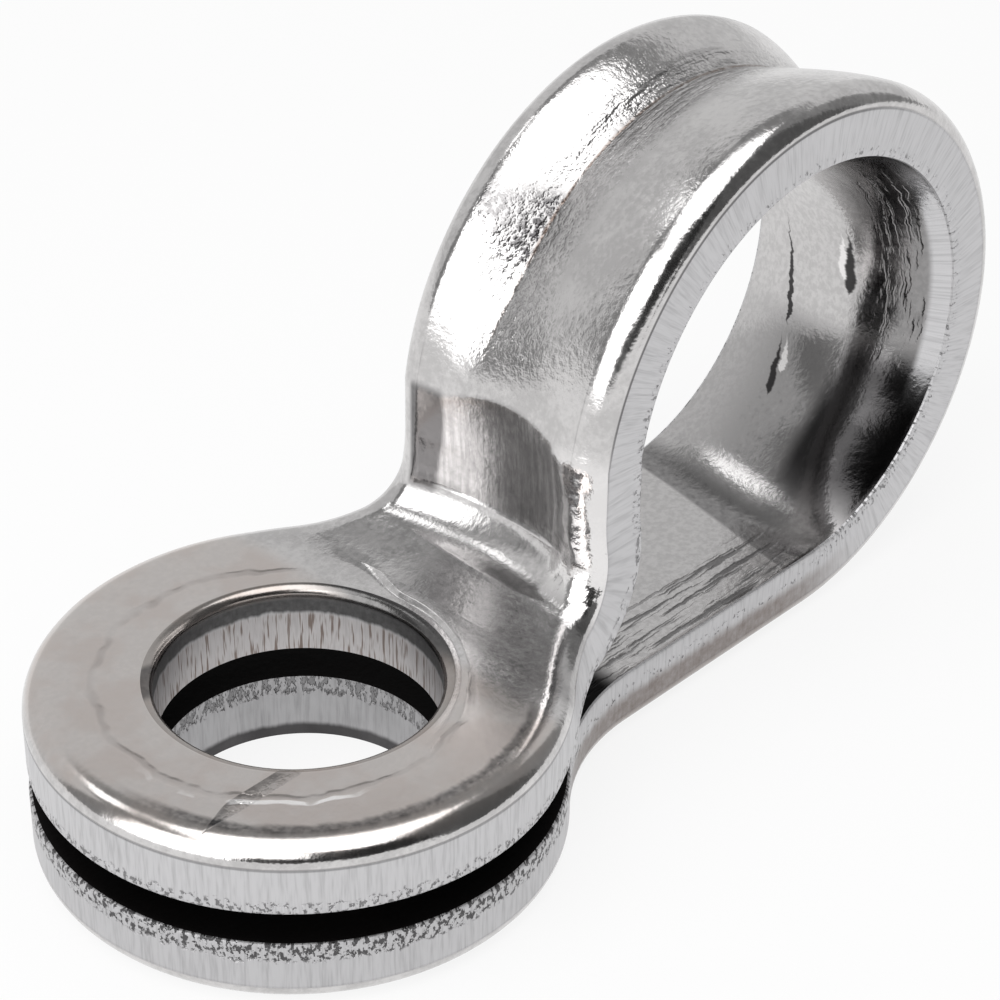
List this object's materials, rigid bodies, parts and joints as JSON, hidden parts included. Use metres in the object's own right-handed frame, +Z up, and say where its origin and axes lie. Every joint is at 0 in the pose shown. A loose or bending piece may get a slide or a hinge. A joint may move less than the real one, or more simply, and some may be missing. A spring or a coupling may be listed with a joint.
{
  "type": "lacing eye",
  "caption": "Folded stainless strip eye: a pierced ring doubled over itself for a screw, and an upright channelled loop for a lacing cord.",
  "frame": {"origin": "axis of the screw hole, in the plane of the underside", "axes": "+X from the ring to the loop, +Z up along the screw hole, +Y across the strip"},
  "size_m": [0.0235, 0.0104, 0.0123],
  "materials": {
    "stainless_steel": "tumbled stainless, bright on the pressed faces, streaked and speckled on the sheared edges"
  },
  "bodies": {
    "root": {"lacing_eye": "stainless_steel"}
  },
  "joints": []
}
